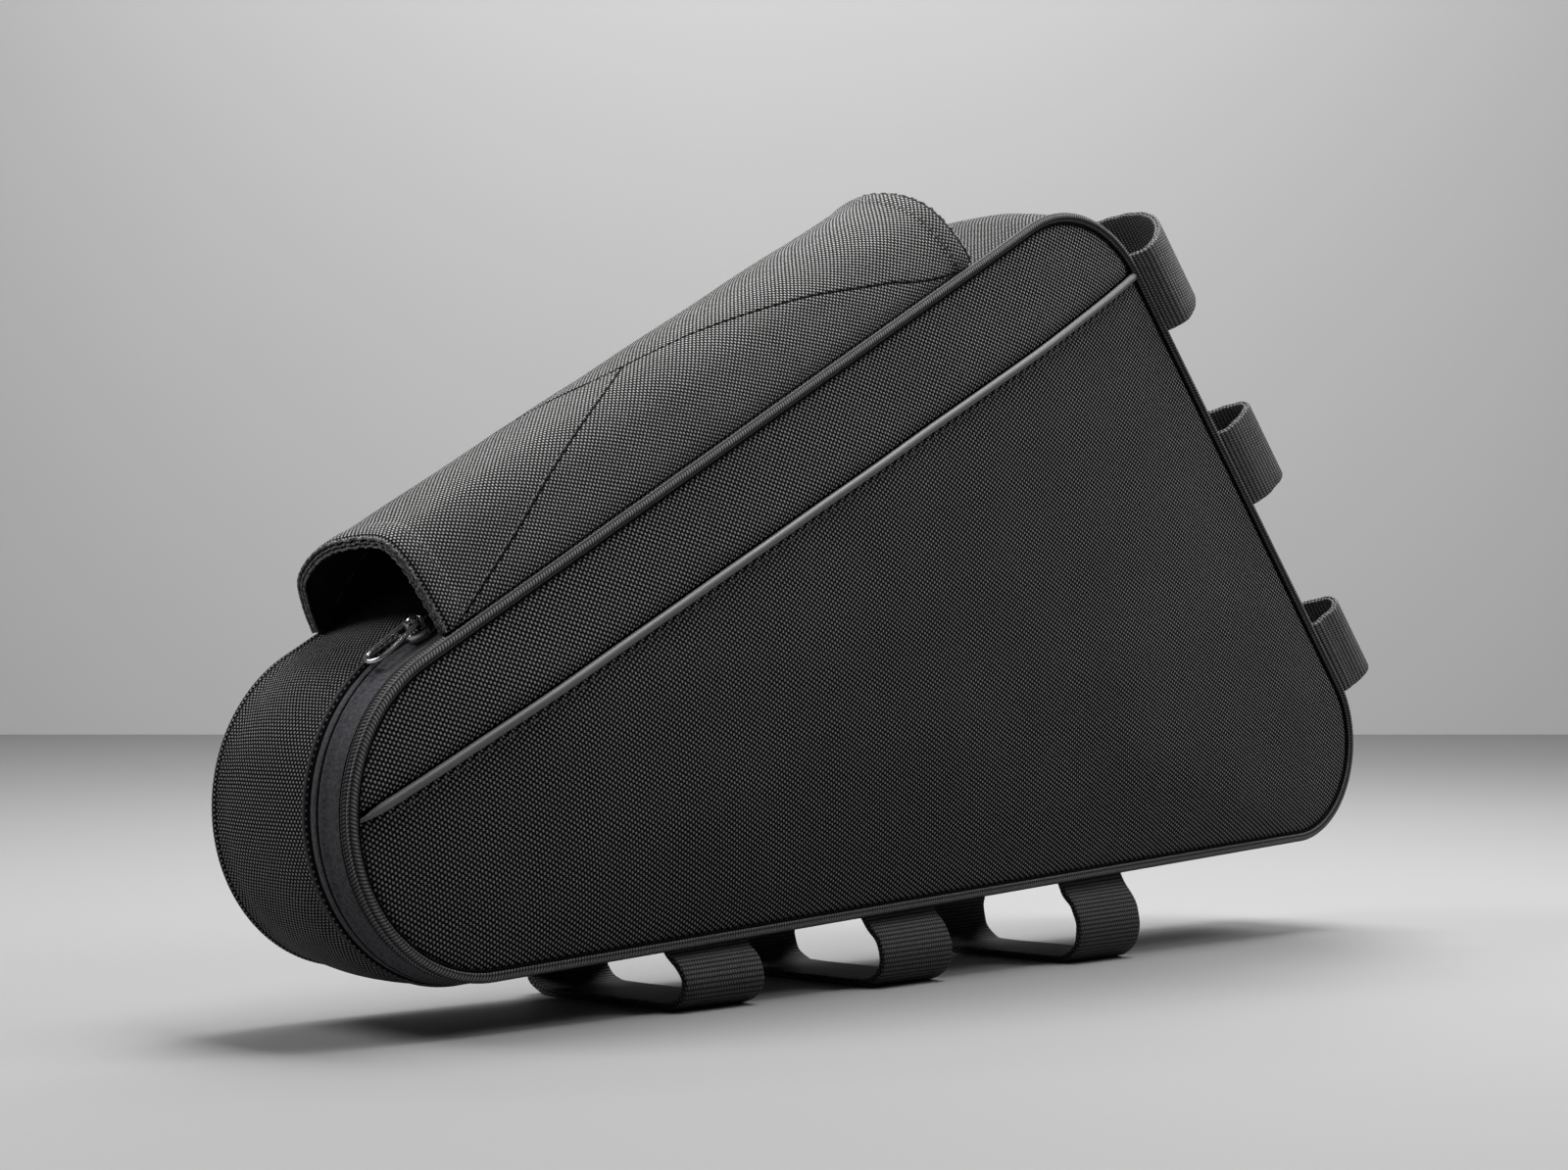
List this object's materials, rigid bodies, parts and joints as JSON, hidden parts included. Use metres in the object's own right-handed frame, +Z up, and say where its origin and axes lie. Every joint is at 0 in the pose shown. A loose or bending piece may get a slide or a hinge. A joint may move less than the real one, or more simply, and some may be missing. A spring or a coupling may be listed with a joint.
{
  "type": "bicycle frame bag",
  "caption": "Soft triangular bag for the inside of a bicycle frame, with a sleeve for the top tube, webbing loops on two edges, a zip round its nose and light piping across one side.",
  "frame": {"origin": "the floor under the middle of the middle lower loop, on its flat underside", "axes": "+X from the rounded nose to the tail, +Y from the side with the light piping to the far side, +Z up, with the bag standing on its lower loops"},
  "size_m": [0.4611, 0.078, 0.252],
  "materials": {
    "canvas": "coarse plain-weave polyester canvas, dark charcoal, matt with a slight sheen on the threads",
    "pocket_canvas": "finer plain-weave polyester canvas, dark charcoal, matt",
    "piping": "twill tape over a round cord, near black",
    "reflective": "smooth light grey reflective film over a round cord, satin",
    "zip_tape": "fine knitted zip tape, near black with a slight violet cast",
    "zip_coil": "black nylon coil",
    "gunmetal": "black polished zinc with sharp highlights",
    "webbing": "ribbed polypropylene webbing, near black, with a slightly fuzzy edge"
  },
  "bodies": {
    "bag": {"gusset": "canvas", "near_panel_upper": "canvas", "near_panel_lower": "pocket_canvas", "far_panel": "canvas", "near_piping": "piping", "far_piping": "piping", "reflective_piping": "reflective", "sleeve_side_near": "canvas", "sleeve_side_far": "canvas", "sleeve_front": "canvas", "sleeve_rear": "canvas", "zip_tape_near": "zip_tape", "zip_tape_far": "zip_tape", "zip_coil": "zip_coil", "zip_slider": "gunmetal", "lower_loop_1": "webbing", "lower_loop_2": "webbing", "lower_loop_3": "webbing", "rear_loop_1": "webbing", "rear_loop_2": "webbing", "rear_loop_3": "webbing"},
    "puller": {"zip_puller": "gunmetal"}
  },
  "joints": [
    {"name": "puller_hinge", "type": "hinge", "parent": "bag", "child": "puller", "pos_m": [-0.18069, -0.01925, 0.11026], "axis": [-0.0699, 0.9897, 0.1251], "range_deg": [0, 95]}
  ]
}
